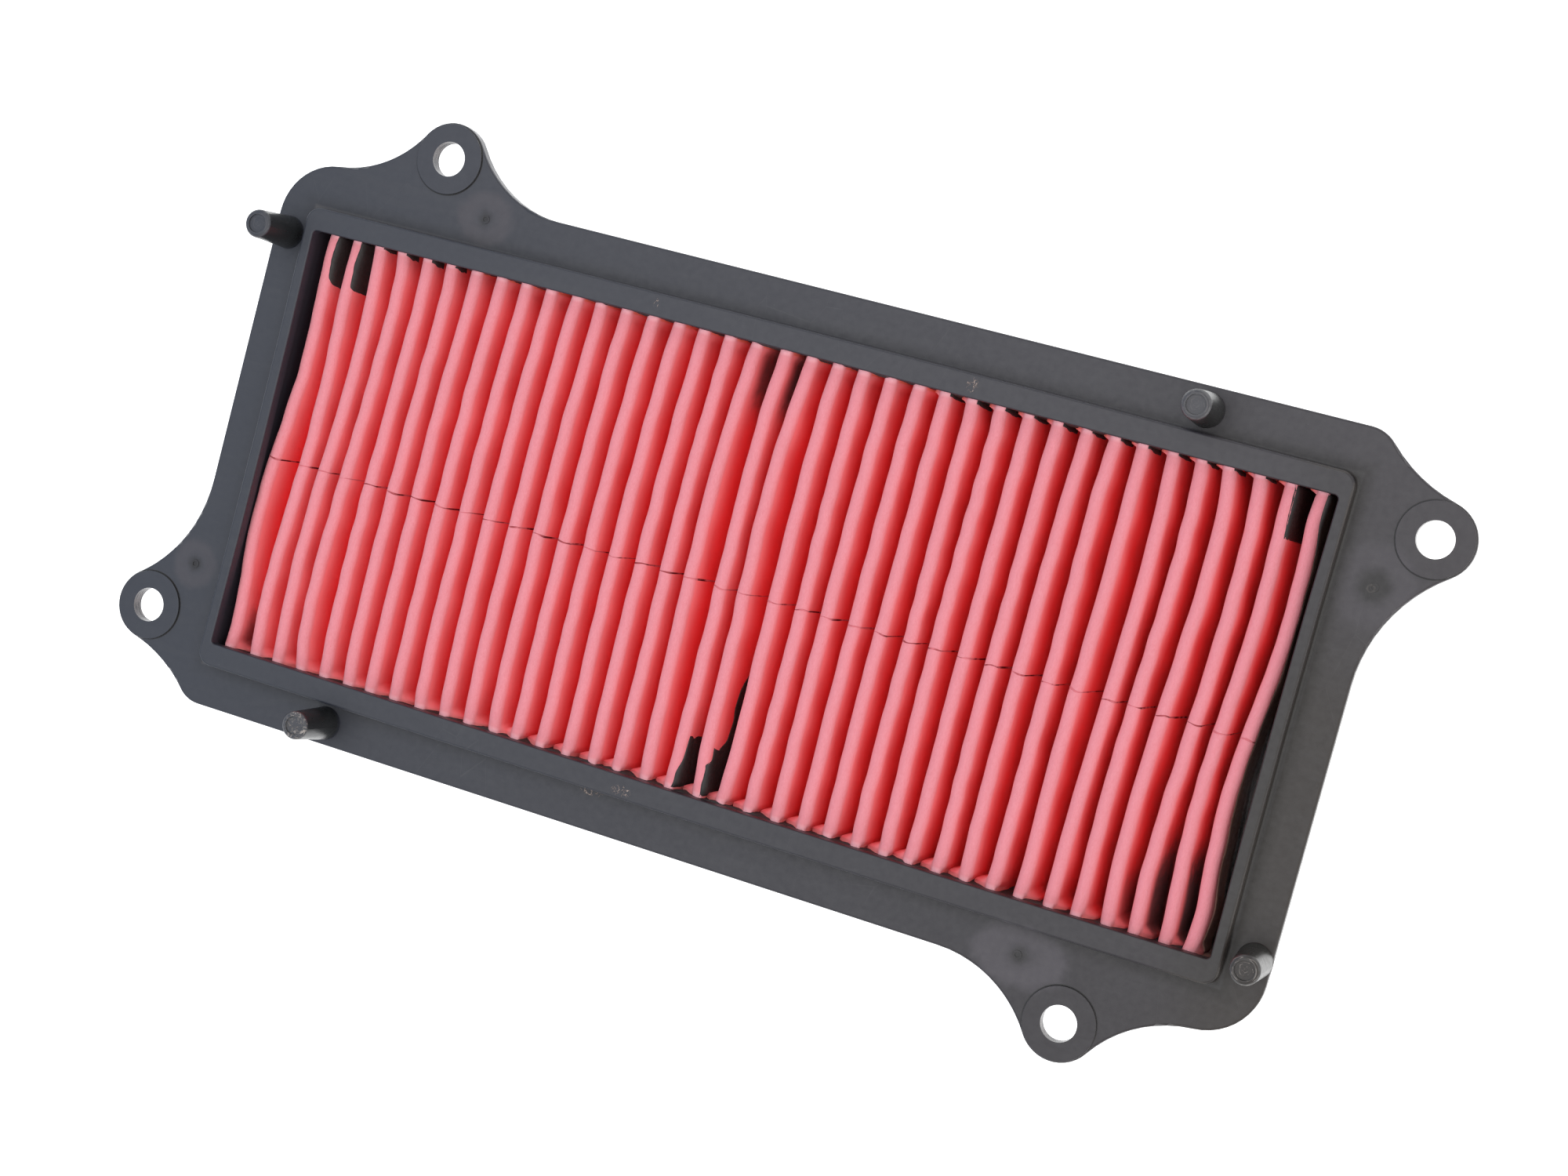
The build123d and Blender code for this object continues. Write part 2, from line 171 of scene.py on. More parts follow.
def closed_sheet(top, bottom):
    """Two same-shaped point grids (rows, cols, 3) joined into one shell; verts, faces."""
    rows, cols = top.shape[:2]
    below = rows * cols
    verts = np.concatenate([top.reshape(-1, 3), bottom.reshape(-1, 3)])
    faces = [grid_faces(rows, cols), grid_faces(rows, cols, below, True)]
    j = np.arange(cols - 1)
    last_row = (rows - 1) * cols + j
    left = np.arange(rows - 1) * cols
    right = left + cols - 1
    # rim strips, each given by the two ends of its upper edges
    for start, end in ((j + 1, j), (last_row, last_row + 1),
                       (left, left + cols), (right + cols, right)):
        faces.append(np.stack([start, end, below + end, below + start], -1))
    return verts, np.concatenate(faces)


def shell(outward, first, second):
    """A shell whose first grid faces up if outward is true; else the second does."""
    return closed_sheet(first, second) if outward else closed_sheet(second, first)


def join(parts):
    verts, faces, count = [], [], 0
    for part_verts, part_faces in parts:
        verts.append(part_verts)
        faces.append(np.asarray(part_faces) + count)
        count += len(part_verts)
    return np.concatenate(verts), np.concatenate(faces)


# ---------------------------------------------------------------- the pleated sheet as a function
FOLD_WAVE = [waves(100 + k, 5, 5.0, 16.0) for k in range(PLEATS)]
TOP_WAVE = [waves(300 + k, 4, 9.0, 30.0) for k in range(PLEATS)]
FLANK_WAVE = [waves(500 + k, 5, 9.0, 30.0) for k in range(2 * PLEATS)]
DEPTH_WAVE = [waves(700 + k, 4, 5.0, 14.0) for k in range(2 * PLEATS)]


def fold_x(k, y):
    """Middle line of fold k at an array of y."""
    u = np.clip(y / BOW_REACH, -1, 1)
    bow = sum(factor * u ** power for power, factor in enumerate(BOW[k]))
    return (k - (PLEATS - 1) / 2) * PITCH + bow + 0.035 * FOLD_WAVE[k](y)


def fold_top(k, y):
    """Height of the crest of fold k; it dips a little at both ends."""
    front_dip = 0.10 * smooth(40.7, 41.4, -y)
    rear_dip = 0.06 * smooth(40.9, 41.6, y)
    return Z_TOP - 0.12 + 0.10 * np.clip(TOP_WAVE[k](y), -1, 1) - front_dip - rear_dip


def half_fold(k, side, y, offset, arc=7, flank=7, valley=4):
    """Surface points from the crest of fold k down its left (side -1) or right (+1) flank
    to the middle of the valley. The offset is from the middle of the sheet, + for the upper
    face; arc, flank and valley are point counts. Returns (len(y), points, 3)."""
    crest_r, valley_r = R_MID + offset, R_MID - offset
    crest_x = fold_x(k, y)
    top = fold_top(k, y)
    crest_z = top - R_OUT
    if 0 <= k + side < PLEATS:
        valley_x = (crest_x + fold_x(k + side, y)) / 2
    else:
        limit = WALL_X - 0.75
        valley_x = np.clip(crest_x + side * PITCH / 2, -limit, limit)
    valley_z = Z_BOT + R_OUT
    dx = np.maximum((valley_x - crest_x) * side, 1.75)
    dz = valley_z - crest_z
    # the flank is the inner tangent of the crest and valley circles
    reach = np.hypot(dx, dz)
    angle = np.arctan2(dz, dx) + np.arccos(np.clip((R_OUT + R_IN) / reach, -1, 1))
    normal_x, normal_z = np.cos(angle), np.sin(angle)
    sweep = np.pi / 2 - angle
    profile = []
    for t in np.linspace(0, 1, arc):
        turn = t * sweep
        profile.append((crest_r * np.sin(turn), crest_z + crest_r * np.cos(turn)))
    start_x, start_z = crest_r * normal_x, crest_z + crest_r * normal_z
    end_x, end_z = dx - valley_r * normal_x, valley_z - valley_r * normal_z
    for t in np.linspace(0, 1, flank + 2)[1:] ** 1.25:
        profile.append((start_x + (end_x - start_x) * t, start_z + (end_z - start_z) * t))
    for t in np.linspace(0, 1, valley)[1:]:
        turn = (1 - t) * sweep
        profile.append((dx - valley_r * np.sin(turn), valley_z - valley_r * np.cos(turn)))

    points = np.zeros((len(y), len(profile), 3))
    flank_wave = FLANK_WAVE[2 * k + (side > 0)]
    depth_wave = DEPTH_WAVE[2 * k + (side > 0)]
    for j, (x, z) in enumerate(profile):
        depth = top - z
        fade = smooth(0.8, 4.0, depth) * (1 - smooth(14.0, 21.0, depth))
        ripple = (0.085 * fade * flank_wave(y + 0.35 * depth)
                  + 0.03 * fade * depth_wave(depth * 2.1 + y * 0.6))
        points[:, j, 0] = crest_x + side * (x + ripple)
        points[:, j, 1] = y
        points[:, j, 2] = z

    depth = top[:, None] - points[:, :, 2]
    for (flank_side, wall, first, stop, start, run, power,
         sets_in, fades, shift_x, shift_z) in END_SHIFTS:
        if flank_side == side and first <= k < stop:
            rise = np.clip((wall * y - start) / run, 0, 1) ** power
            amount = rise[:, None] * smooth(*sets_in, depth) * (1 - smooth(*fades, depth))
            points[:, :, 0] += amount * shift_x
            points[:, :, 2] += amount * shift_z
    return points


def media_grid(y, offset):
    """One face of the sheet over the whole pack, left to right."""
    cols = []
    for k in range(PLEATS):
        left = half_fold(k, -1, y, offset)[:, ::-1]
        right = half_fold(k, +1, y, offset)
        # the free ends of the sheet stop at the foot of the flank; elsewhere the
        # middle of a valley belongs to the fold before it
        left = left[:, 3:] if k == 0 else left[:, 1:]
        if k == PLEATS - 1:
            right = right[:, :-3]
        cols.append(np.concatenate([left, right[:, 1:]], 1))
    return np.concatenate(cols, 1)


# ---------------------------------------------------------------- procedural materials
def rgba(value):
    return (*value, 1.0) if isinstance(value, tuple) else value


class Graph:
    """Builds the nodes of one material; its coordinates are in mm."""

    def __init__(self, name):
        self.material = bpy.data.materials.new(name)
        self.material.use_nodes = True
        self.tree = self.material.node_tree
        self.tree.nodes.clear()
        self.out = self.node("OutputMaterial")
        coords = self.node("TexCoord")
        scaled = self.vector_math("SCALE", coords.outputs["Object"])
        scaled.inputs["Scale"].default_value = 1000.0
        self.mm = scaled.outputs["Vector"]

    @cached_property
    def axes(self):
        split = self.node("SeparateXYZ")
        self.put(split.inputs[0], self.mm)
        return split.outputs

    x = property(lambda self: self.axes[0])
    y = property(lambda self: self.axes[1])
    z = property(lambda self: self.axes[2])

    def node(self, kind):
        return self.tree.nodes.new("ShaderNode" + kind)

    def put(self, socket, value):
        """Link a socket, or set its value."""
        if isinstance(value, bpy.types.NodeSocket):
            self.tree.links.new(value, socket)
        else:
            socket.default_value = value

    def math(self, operation, *values):
        node = self.node("Math")
        node.operation = operation
        for socket, value in zip(node.inputs, values):
            self.put(socket, value)
        return node.outputs[0]

    def add(self, a, b):
        return self.math("ADD", a, b)

    def sub(self, a, b):
        return self.math("SUBTRACT", a, b)

    def mul(self, a, b):
        return self.math("MULTIPLY", a, b)

    def invert(self, value):
        return self.sub(1.0, value)

    def strongest(self, masks):
        return reduce(lambda a, b: self.math("MAXIMUM", a, b), masks)

    def vector_math(self, operation, *values):
        node = self.node("VectorMath")
        node.operation = operation
        for socket, value in zip(node.inputs, values):
            self.put(socket, value)
        return node

    def combine(self, x, y):
        node = self.node("CombineXYZ")
        self.put(node.inputs[0], x)
        self.put(node.inputs[1], y)
        return node.outputs[0]

    def near(self, x, y):
        """Distance from the upright line at x, y."""
        here = self.combine(self.x, self.y)
        return self.vector_math("DISTANCE", here, (x, y, 0.0)).outputs["Value"]

    def oval(self, x, y, half_x, half_y):
        """Squared distance from x, y, 1 on the ellipse with these half widths."""
        across = self.math("DIVIDE", self.sub(self.x, x), half_x)
        along = self.math("DIVIDE", self.sub(self.y, y), half_y)
        return self.add(self.mul(across, across), self.mul(along, along))

    def squeeze(self, x, y, z):
        """Coordinates multiplied per axis; below 1 the pattern is drawn out."""
        return self.vector_math("MULTIPLY", self.mm, (x, y, z)).outputs["Vector"]

    def noise(self, scale, detail=3.0, rough=0.5, vector=None, distortion=0.0):
        node = self.node("TexNoise")
        self.put(node.inputs["Vector"], vector or self.mm)
        node.inputs["Scale"].default_value = scale
        node.inputs["Detail"].default_value = detail
        node.inputs["Roughness"].default_value = rough
        node.inputs["Distortion"].default_value = distortion
        return node.outputs["Fac"]

    def wander(self, amount, scale, detail=3.0):
        """Noise centred on zero."""
        return self.mul(self.sub(self.noise(scale, detail), 0.5), amount)

    def cells(self, scale, feature="F1", vector=None):
        node = self.node("TexVoronoi")
        node.feature = feature
        self.put(node.inputs["Vector"], vector or self.mm)
        node.inputs["Scale"].default_value = scale
        return node.outputs["Distance"]

    def ramp(self, value, over, to=(0.0, 1.0), smoothed=True):
        """Map the range over onto the range to, clamped."""
        node = self.node("MapRange")
        node.interpolation_type = "SMOOTHSTEP" if smoothed else "LINEAR"
        node.clamp = True
        for socket, entry in zip(node.inputs, (value, *over, *to)):
            self.put(socket, entry)
        return node.outputs[0]

    def fall(self, value, over, smoothed=True):
        """From 1 down to 0."""
        return self.invert(self.ramp(value, over, smoothed=smoothed))

    def line(self, value, at, over):
        """1 where the value equals at, falling off to both sides."""
        return self.fall(self.math("ABSOLUTE", self.sub(value, at)), over)

    def mix(self, mask, first, second):
        node = self.node("Mix")
        node.data_type = "RGBA"
        self.put(node.inputs[0], mask)
        self.put(node.inputs[6], rgba(first))
        self.put(node.inputs[7], rgba(second))
        return node.outputs[2]

    def paint(self, base, mask, colour, strength=None):
        if strength is not None:
            mask = self.mul(mask, strength)
        return self.mix(mask, base, colour)

    def bump(self, height, strength):
        node = self.node("Bump")
        node.inputs["Strength"].default_value = strength
        node.inputs["Distance"].default_value = MM
        self.put(node.inputs["Height"], height)
        return node.outputs[0]

    def principled(self, **inputs):
        node = self.node("BsdfPrincipled")
        for name, value in inputs.items():
            self.put(node.inputs[name.replace("_", " ")], rgba(value))
        self.put(self.out.inputs[0], node.outputs[0])
        return self.material


# ---------------------------------------------------------------- frame plastic
# x, y, how scuffed the tip is
PINS = ((-107.0, 39.42, 0.10), (73.98, 49.69, 0.12), (107.0, -39.42, 0.75), (-73.98, -49.69, 1.0))
# centres of the raised discs
DISCS = ((-77.5, 60.36), (117.0, 38.0), (77.5, -60.36), (-117.0, -38.0))
DISC_EDGE = 6.78
# gate blushes: x, y, half widths, how pale, how dark the middle, radius of the middle
BLUSHES = (
    (-67.25, 51.1, 6.3, 5.6, 0.55, 0.9, 2.2), (67.5, -51.0, 9.8, 6.3, 0.80, 1.0, 2.4),
    (109.4, 27.7, 7.8, 8.4, 0.42, 1.6, 4.4), (-109.4, -27.6, 5.2, 5.2, 0.45, 1.0, 2.2),
)
# tufts of fibre on the flange: x, y, half widths
TUFTS = ((-10.9, -44.2, 1.9, 1.0), (-17.5, -46.6, 2.4, 0.7),
         (-28.2, 43.7, 0.45, 0.9), (33.4, 43.7, 1.1, 1.3))


def plain_plastic(g):
    """Near black, with a different cast at each end, clouds and flow marks."""
    across = g.ramp(g.x, over=(-120.0, 120.0), smoothed=False)
    along = g.ramp(g.y, over=(-60.0, 60.0), smoothed=False)
    left = g.mix(along, first=(0.0180, 0.0225, 0.0350), second=(0.0215, 0.0260, 0.0390))
    right = g.mix(along, first=(0.0146, 0.0100, 0.0116), second=(0.0280, 0.0240, 0.0290))
    corner = g.mul(g.ramp(g.x, over=(88.0, 106.0)), g.ramp(g.y, over=(0.0, 30.0), to=(1.0, 0.0)))
    right = g.paint(right, corner, colour=(0.0155, 0.0100, 0.0065))
    base = g.mix(across, left, right)
    cloud = g.noise(scale=0.045, detail=3, rough=0.55)
    base = g.paint(base, cloud, colour=(0.040, 0.041, 0.048), strength=0.20)
    flow = g.noise(scale=0.16, detail=4, rough=0.6, vector=g.squeeze(x=0.25, y=1.6, z=0.5),
                   distortion=1.2)
    flow = g.ramp(flow, over=(0.45, 0.75))
    return g.paint(base, flow, colour=(0.050, 0.051, 0.056), strength=0.12)


def gate_blushes(g, base, top):
    """Soft pale patches with a darker middle; also returns the pale mask."""
    patches, eyes = [], []
    wobble = g.wander(amount=0.42, scale=0.30)
    for x, y, half_x, half_y, paleness, darkness, eye_radius in BLUSHES:
        reach = g.add(g.math("SQRT", g.oval(x, y, half_x, half_y)), wobble)
        patch = g.mul(g.fall(reach, over=(0.70, 1.08)), paleness)
        patches.append(g.mul(patch, g.ramp(reach, over=(0.05, 0.55), to=(0.35, 1.0))))
        distance = g.add(g.near(x, y), g.wander(amount=1.6, scale=0.55))
        eyes.append(g.mul(g.fall(distance, over=(0.1, eye_radius)), darkness))
    pale = g.mul(g.strongest(patches), top)
    dark = g.mul(g.math("MINIMUM", g.strongest(eyes), 1.0), top)
    base = g.paint(base, pale, colour=(0.060, 0.054, 0.064))
    base = g.paint(base, dark, colour=(0.004, 0.003, 0.003), strength=0.80)
    # a small pale ring inside the right-hand blush
    ring = g.sub(g.near(x=108.9, y=27.3), g.wander(amount=0.5, scale=1.5, detail=2))
    ring = g.line(ring, at=0.62, over=(0.06, 0.24))
    base = g.paint(base, g.mul(ring, top), colour=(0.10, 0.085, 0.075), strength=0.22)
    return base, pale


def disc_edge_shade(g, base):
    """Painted shade: a dark line round each raised disc, strongest on the side that faces the
    frame.
    """
    for x, y in DISCS:
        line = g.mul(g.line(g.near(x, y), at=DISC_EDGE, over=(0.07, 0.15)),
                     g.fall(g.z, over=(24.25, 24.4)))
        pull_x, pull_y = x, y * 1.6
        length = math.hypot(pull_x, pull_y)
        inward = g.add(g.mul(g.sub(g.x, x), -pull_x / length),
                       g.mul(g.sub(g.y, y), -pull_y / length))
        inward = g.math("DIVIDE", inward, DISC_EDGE)
        line = g.mul(line, g.ramp(inward, over=(-0.75, 0.25), to=(0.30, 1.0)))
        # painted shade along the wall of the raised disc
        base = g.paint(base, line, colour=(0.0005, 0.0005, 0.0006), strength=0.97)
    return base


def scratches_and_dust(g, base):
    """Also returns the scratch mask."""
    hair = g.cells(scale=0.11, feature="DISTANCE_TO_EDGE", vector=g.squeeze(x=1.0, y=0.35, z=0.2))
    hair = g.mul(g.fall(hair, over=(0.0, 0.006)),
                 g.ramp(g.noise(scale=0.03, detail=2), over=(0.55, 0.68)))
    base = g.paint(base, hair, colour=(0.16, 0.16, 0.16), strength=0.06)
    speck = g.mul(g.fall(g.cells(scale=0.34), over=(0.0, 0.045)),
                  g.ramp(g.noise(scale=0.12, detail=2), over=(0.52, 0.66)))
    return g.paint(base, speck, colour=(0.17, 0.17, 0.17), strength=0.30), hair


def fibre_tufts(g, top):
    """Mask of the curled fibres."""
    curl = g.line(g.noise(scale=0.95, detail=2, distortion=0.8), at=0.5, over=(0.004, 0.026))
    spots = [g.fall(g.oval(*tuft), over=(0.6, 1.3)) for tuft in TUFTS]
    return g.mul(g.mul(g.strongest(spots), curl), g.mul(top, 0.55))


def pin_marks(g, tip):
    """Scribbled marks on the left front pin, turned marks running round the other three."""
    scribble = g.line(g.noise(scale=0.75, detail=2.0, distortion=2.0), at=0.5,
                      over=(0.012, 0.036))
    turned = []
    for x, y, _ in PINS[2::-1]:
        angle = g.math("ARCTAN2", g.sub(g.y, y), g.sub(g.x, x))
        polar = g.combine(x=g.mul(g.near(x, y), 2.1), y=g.mul(angle, 0.42))
        grooves = g.noise(scale=1.0, detail=1.2, vector=polar, distortion=0.3)
        turned.append(g.mul(g.line(grooves, at=0.5, over=(0.006, 0.034)),
                            g.ramp(g.near(x, y), over=(3.2, 3.3), to=(1.0, 0.0))))
    left_part = g.mul(g.ramp(g.x, over=(-76.0, -74.6), to=(0.15, 1.0)),
                      g.ramp(g.x, over=(-60.0, -59.0), to=(1.0, 0.0)))
    return g.strongest([g.mul(scribble, left_part), g.strongest(turned)])


def pins(g, base):
    """Scuffed tips with a painted highlight on the tip edge and the dimple edge, on clean shafts.
    Also returns the masks of the scuffs, of the shafts and of the whole pin outlines."""
    tip = g.ramp(g.z, over=(35.75, 36.0))
    marks = pin_marks(g, tip)
    scuffs, edges, outlines = [], [], []
    for x, y, amount in PINS:
        distance = g.near(x, y)
        scuffs.append(g.mul(g.fall(distance, over=(2.5, 2.9)), amount))
        edge = g.line(distance, at=2.42, over=(0.05, 0.24))
        lip = g.mul(g.line(distance, at=1.78, over=(0.04, 0.16)), 0.6)
        # painted highlight on the tip edge and the dimple edge, stronger on the right-hand pins
        edges.append(g.mul(g.strongest([edge, lip]), 0.75 if x > 0 else 0.35))
        outlines.append(g.fall(distance, over=(3.25, 3.6)))
    scuff = g.mul(g.mul(g.strongest(scuffs), marks), tip)
    patchy = g.ramp(g.noise(scale=1.1), over=(0.35, 0.6), to=(0.35, 1.0))
    wear_and_highlight = g.mul(g.mul(g.strongest(edges), tip), patchy)
    outline = g.strongest(outlines)
    shaft = g.mul(outline, g.mul(g.ramp(g.z, over=(24.1, 24.8)), g.invert(tip)))
    faces = [g.mul(g.fall(g.near(x, y), over=(2.4, 2.6)), tip) for x, y, _ in PINS[1::2]]
    # the shafts are a more neutral black than the flange
    barrel = g.mul(outline, g.mul(g.ramp(g.z, over=(24.2, 25.2)), g.invert(tip)))
    base = g.paint(base, barrel, colour=(0.0125, 0.0135, 0.0125), strength=0.8)
    base = g.paint(base, g.strongest(faces), colour=(0.055, 0.057, 0.066), strength=0.5)
    # painted highlight on the pin tip edges
    base = g.paint(base, wear_and_highlight, colour=(0.17, 0.175, 0.18), strength=0.45)
    base = g.paint(base, scuff, colour=(0.34, 0.31, 0.29), strength=0.75)
    return base, scuff, shaft, outline


def wall_reflections(g, base, out, outline):
    """Painted reflection: the outer edge and the hole walls are painted paler, broken by draw
    lines. Also returns the mask.
    """
    geometry = g.node("NewGeometry")
    normal = g.node("SeparateXYZ")
    g.put(normal.inputs[0], geometry.outputs["True Normal"])
    steep = g.ramp(g.math("ABSOLUTE", normal.outputs[2]), over=(0.25, 0.6), to=(1.0, 0.0))
    reflecting_walls = g.mul(g.mul(steep, g.ramp(out, over=(3.0, 4.0))),
                     g.ramp(g.z, over=(24.5, 24.7), to=(1.0, 0.0)))
    reflecting_walls = g.mul(reflecting_walls, g.invert(outline))
    drawn = g.noise(scale=1.0, detail=3, rough=0.6, vector=g.squeeze(x=0.25, y=0.25, z=2.4),
                    distortion=0.4)
    holes = [g.ramp(g.near(x, y), over=(3.42, 3.6), to=(1.0, 0.0)) for x, y in DISCS]
    bore_reflection = g.mul(g.strongest(holes), reflecting_walls)
    streaks = g.ramp(drawn, over=(0.40, 0.62), to=(0.10, 0.55))
    # painted reflection on the steep outer walls, broken by draw lines
    base = g.paint(base, g.mul(reflecting_walls, streaks), colour=(0.10, 0.095, 0.10))
    streaks = g.ramp(drawn, over=(0.44, 0.60), to=(0.02, 0.50))
    # painted reflection in the hole bores
    return g.paint(base, g.mul(bore_reflection, streaks), colour=(0.36, 0.32, 0.325)), reflecting_walls


def frame_plastic():
    g = Graph("moulded_plastic")
    base = plain_plastic(g)
    top = g.ramp(g.z, over=(23.6, 23.95))
    rim = g.ramp(g.z, over=(24.6, 26.4))
    base, pale = gate_blushes(g, base, top)
    base = disc_edge_shade(g, base)

    # distance outward from the rim
    out = g.strongest([g.sub(g.math("ABSOLUTE", g.x), 102.2), g.sub(g.math("ABSOLUTE", g.y), 45.4)])
    # painted shade: a dark band at the foot of the rim, stronger on the right
    foot = g.mul(g.fall(out, over=(0.0, 3.2), smoothed=False), g.mul(top, g.invert(rim)))
    foot = g.mul(foot, g.ramp(g.x, over=(60.0, 100.0), to=(0.35, 1.0)))
    # painted light: a paler line along the foot of the rim, lifting the shade there
    rim_foot_highlight = g.mul(g.line(out, at=0.1, over=(0.1, 0.75)),
                   g.ramp(g.z, over=(24.9, 25.4), to=(1.0, 0.0)))
    base = g.paint(base, rim_foot_highlight, colour=(0.075, 0.073, 0.080), strength=0.75)

    base, hair = scratches_and_dust(g, base)
    tuft = fibre_tufts(g, top)
    base, scuff, shaft, outline = pins(g, base)
    base = g.paint(base, tuft, colour=(0.55, 0.42, 0.36))
    # painted shade at the foot of the rim
    base = g.paint(base, foot, colour=(0.0062, 0.0045, 0.0022), strength=0.65)

    # top and outer face of the rim at the right end
    crown = g.mul(g.ramp(g.z, over=(27.0, 27.5)), g.ramp(g.x, over=(88.0, 100.0)))
    base = g.paint(base, crown, colour=(0.010, 0.0085, 0.0085), strength=0.35)
    band = g.mul(g.ramp(out, over=(-0.55, -0.25)), g.ramp(out, over=(0.7, 1.0), to=(1.0, 0.0)))
    right_end = g.mul(g.ramp(g.z, over=(24.1, 24.6)), g.ramp(g.x, over=(88.0, 100.0)))
    base = g.paint(base, g.mul(band, right_end), colour=(0.050, 0.043, 0.038), strength=0.6)
    base, reflecting_walls = wall_reflections(g, base, out, outline)

    # rougher on the blushes, smoother on shafts and on the walls with the painted reflection
    rough = g.ramp(g.noise(scale=0.8, detail=4, rough=0.6), over=(0.25, 0.75), to=(0.40, 0.54),
                   smoothed=False)
    rough = g.add(rough, g.mul(pale, 0.06))
    rough = g.sub(rough, g.mul(shaft, 0.16))
    rough = g.sub(rough, g.mul(reflecting_walls, 0.20))
    # relief heights in mm
    grain = g.mul(g.noise(scale=5.5, detail=3, rough=0.6), 0.012)
    broad = g.mul(g.noise(scale=0.55, detail=2), 0.03)
    marks = g.add(g.mul(hair, 0.006), g.mul(g.add(scuff, tuft), 0.10))
    normal = g.bump(g.add(g.add(grain, broad), marks), strength=0.8)
    specular = g.sub(0.5, g.mul(foot, 0.06))
    return g.principled(Base_Color=base, Roughness=rough, Normal=normal, IOR=1.5,
                        Specular_IOR_Level=specular)


# ---------------------------------------------------------------- felt of the pleats
# soft dark areas on the flanks: x, y, half widths, strength
FLANK_DARKENING = [
    (-6.2, 36.0, 2.2, 9.0, 0.80), (-0.8, 36.0, 2.2, 8.5, 0.86), (-96.3, -39.5, 2.0, 7.0, 0.70),
    (98.4, -33.0, 2.6, 17.0, 0.97), (93.4, -35.0, 2.5, 11.0, 0.93),
    (88.0, -35.5, 2.5, 11.0, 0.88), (82.6, -38.0, 2.0, 7.0, 0.4),
]


def flank_darkening_mask(g, depth):
    """Soft darker areas on the flanks, setting in below the crest."""
    darkenings = []
    for x, y, half_x, half_y, amount in FLANK_DARKENING:
        reach = g.add(g.oval(x, y, half_x, half_y), g.wander(amount=0.9, scale=0.5))
        darkening = g.mul(g.fall(reach, over=(0.0, 1.35)), amount)
        darkenings.append(g.mul(darkening, g.ramp(depth, over=(1.3, 6.2) if y > 0 else (0.7, 5.2))))
    return g.strongest(darkenings)


def media_felt():
    g = Graph("pleated_felt")
    fibre = g.noise(scale=3.2, detail=4, rough=0.65, vector=g.squeeze(x=1.0, y=0.45, z=1.0),
                    distortion=0.6)
    fine_fibre = g.noise(scale=7.5, detail=3, rough=0.6, vector=g.squeeze(x=0.8, y=1.2, z=1.0),
                         distortion=0.9)
    cloud = g.noise(scale=0.10)
    base = g.mix(g.ramp(fibre, over=(0.25, 0.75)),
                 first=(0.665, 0.222, 0.262), second=(0.705, 0.268, 0.312))
    base = g.paint(base, cloud, colour=(0.67, 0.21, 0.235), strength=0.25)
    # depth below the crest, or above the valley floor if that is less
    depth = g.math("MINIMUM", g.sub(Z_TOP, g.z), g.sub(g.z, Z_BOT))
    upper = g.ramp(g.z, over=(6.0, 12.0))
    reach = g.math("ABSOLUTE", g.y)
    # painted light: paler fold ends near the walls, lifting the shade of the rim, less so at the
    # right of the front
    base = g.paint(base, g.ramp(reach, over=(39.2, 40.6)), colour=(0.86, 0.31, 0.35),
                   strength=0.55)
    away_from_right_front = g.invert(g.mul(g.ramp(g.x, over=(76.0, 84.0), to=(0.0, 0.6)),
                           g.ramp(g.y, over=(-5.0, 5.0), to=(1.0, 0.0))))
    # painted light on the crests at the fold ends
    fold_end_highlight = g.mul(g.mul(g.ramp(reach, over=(40.2, 41.1)), away_from_right_front),
                 g.ramp(depth, over=(0.25, 1.1), to=(1.0, 0.0)))
    base = g.paint(base, fold_end_highlight, colour=(0.985, 0.47, 0.53))
    # painted shade: the felt is painted a deeper, more saturated red down the flanks, standing in
    # for light bounced between the folds
    base = g.paint(base, g.ramp(depth, over=(0.15, 2.0)), colour=(0.94, 0.215, 0.235))
    base = g.paint(base, g.ramp(depth, over=(1.6, 8.0)), colour=(0.965, 0.048, 0.058))
    # painted shade: the pinched front ends, below the crest, are painted a deeper red
    middle = g.mul(g.ramp(g.x, over=(-40.0, -33.0)),
                   g.ramp(g.x, over=(60.0, 66.0), to=(1.0, 0.0)))
    front = g.mul(g.ramp(g.y, over=(-40.2, -39.4), to=(1.0, 0.0)), middle)
    pinched_end_shade = g.mul(g.mul(front, upper), g.ramp(depth, over=(1.4, 2.4)))
    base = g.paint(base, pinched_end_shade, colour=(0.80, 0.060, 0.075), strength=0.55)
    # the cut ends of the folds show a warm pale edge against the walls
    shallow = g.mul(g.ramp(depth, over=(0.9, 1.6)),
                    g.ramp(depth, over=(4.0, 7.0), to=(1.0, 0.0)))
    cut = g.mul(g.ramp(reach, over=(40.72, 40.95)), shallow)
    cut_colour = g.mix(g.ramp(g.y, over=(-5.0, 5.0)),
                       first=(0.96, 0.275, 0.27), second=(0.93, 0.17, 0.085))
    base = g.paint(base, g.mul(cut, away_from_right_front), colour=cut_colour, strength=0.60)
    # darker, redder flecks
    fleck = g.mul(g.fall(g.cells(scale=0.55), over=(0.0, 0.11)),
                  g.ramp(g.noise(scale=0.2, detail=2), over=(0.5, 0.65)))
    base = g.paint(base, fleck, colour=(0.60, 0.05, 0.07), strength=0.30)
    base = g.paint(base, g.mul(flank_darkening_mask(g, depth), upper), colour=(0.062, 0.021, 0.022))
    height = g.add(g.mul(fibre, 0.09), g.mul(fine_fibre, 0.045))  # relief in mm
    return g.principled(
        Base_Color=base, Roughness=0.92, Normal=g.bump(height, strength=0.9), IOR=1.4,
        Specular_IOR_Level=0.15, Sheen_Weight=0.10, Sheen_Roughness=0.5,
        Sheen_Tint=(1.0, 0.7, 0.72))


